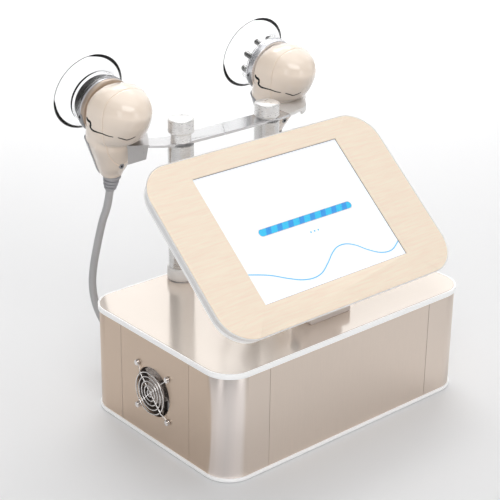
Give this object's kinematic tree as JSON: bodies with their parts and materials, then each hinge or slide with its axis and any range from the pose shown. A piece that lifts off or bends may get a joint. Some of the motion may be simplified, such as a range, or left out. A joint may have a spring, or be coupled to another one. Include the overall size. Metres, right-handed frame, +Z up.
{
  "type": "body contouring machine",
  "caption": "Desktop body contouring unit: rounded metal box, tilting screen, pole stand with crossbar and cup-ended handpieces in cradles.",
  "frame": {"origin": "middle of the footprint of the whole unit, on the surface that its feet stand on", "axes": "+Z up, -Y towards the user in front of the screen, +X to the right as the user sees it"},
  "size_m": [0.3523, 0.364, 0.3695],
  "materials": {
    "housing": "satin champagne anodised, brushed",
    "white_trim": "gloss white",
    "plate": "polished champagne, nearly a mirror",
    "rubber": "matt",
    "black_plastic": "fine matt",
    "chrome": "polished",
    "zinc": "zinc plated",
    "board": "solder mask",
    "steel": "satin brushed",
    "bar": "polished",
    "cradle": "satin grey",
    "band": "satin",
    "face": "fine horizontal brushed grain, peach",
    "display": "gloss, lit from behind",
    "hinge": "satin champagne",
    "clear": "clear moulded plastic",
    "transducer": "dark ground steel",
    "nose": "satin brown beige",
    "shell": "gloss peach beige",
    "seal": "matt",
    "strip": "gloss grey",
    "hose": "semi matt grey"
  },
  "bodies": {
    "base": {"rubber_feet": "rubber", "bottom_tray": "white_trim", "front_panel": "housing", "rear_panel": "housing", "left_panel": "housing", "right_panel": "housing", "corner_panels": "housing", "top_rim": "white_trim", "top_plate": "plate", "fan_frame": "black_plastic", "fan_guard": "chrome", "fan_screws": "chrome", "power_supply": "zinc", "generator_board": "board", "control_board": "board", "vacuum_pump": "zinc", "power_inlet": "black_plastic", "hose_sockets": "steel", "poles": "steel", "pole_collars": "steel", "clamp_studs": "zinc", "crossbar_left": "bar", "crossbar_right": "bar", "cradle_left": "cradle", "cradle_right": "cradle", "hinge_base": "hinge", "hinge_shaft": "zinc", "hose_upper": "hose", "hose_coil": "hose", "hose_tail": "hose", "hose_plug": "strip"},
    "fan_rotor_body": {"fan_rotor": "black_plastic"},
    "switch": {"power_switch": "black_plastic"},
    "knob_left": {"knob_left": "steel"},
    "knob_right": {"knob_right": "steel"},
    "screen": {"tablet_back": "white_trim", "tablet_band": "band", "tablet_frame": "white_trim", "tablet_face": "face", "lcd_panel": "display", "touch_glass": "display", "tablet_board": "board", "hinge_bracket": "hinge"},
    "handpiece_left": {"cup_left": "clear", "transducer": "transducer", "nose_ring_left": "nose", "head_shell_left": "shell", "front_cover_left": "shell", "seam_seal_left": "seal", "grip_panel_left": "strip", "neck_ring_left": "strip", "strain_relief": "hose"},
    "handpiece_right": {"cup_right": "clear", "electrode_head": "chrome", "nose_ring_right": "steel", "head_shell_right": "shell", "front_cover_right": "shell", "seam_seal_right": "seal", "grip_panel_right": "strip", "neck_ring_right": "strip"}
  },
  "joints": [
    {"name": "fan_spin", "type": "hinge", "parent": "base", "child": "fan_rotor_body", "pos_m": [-0.16, -0.0423, 0.0608], "axis": [1, 0, 0], "continuous": true},
    {"name": "switch_rock", "type": "hinge", "parent": "base", "child": "switch", "pos_m": [-0.0645, 0.0638, 0.056], "axis": [1, 0, 0], "range_deg": [-16, 0]},
    {"name": "knob_left_turn", "type": "hinge", "parent": "base", "child": "knob_left", "pos_m": [-0.059, 0.0532, 0.3], "axis": [0, 0, 1], "continuous": true},
    {"name": "knob_right_turn", "type": "hinge", "parent": "base", "child": "knob_right", "pos_m": [0.065, 0.0552, 0.292], "axis": [0, 0, 1], "continuous": true},
    {"name": "screen_tilt", "type": "hinge", "parent": "base", "child": "screen", "pos_m": [0, -0.1043, 0.156], "axis": [1, 0, 0], "range_deg": [-10, 20]},
    {"name": "handpiece_left_lift", "type": "slide", "parent": "base", "child": "handpiece_left", "axis": [0, -0.225, 0.9744], "range_m": [0, 0.1]},
    {"name": "handpiece_right_lift", "type": "slide", "parent": "base", "child": "handpiece_right", "axis": [0, -0.225, 0.9744], "range_m": [0, 0.1]}
  ]
}
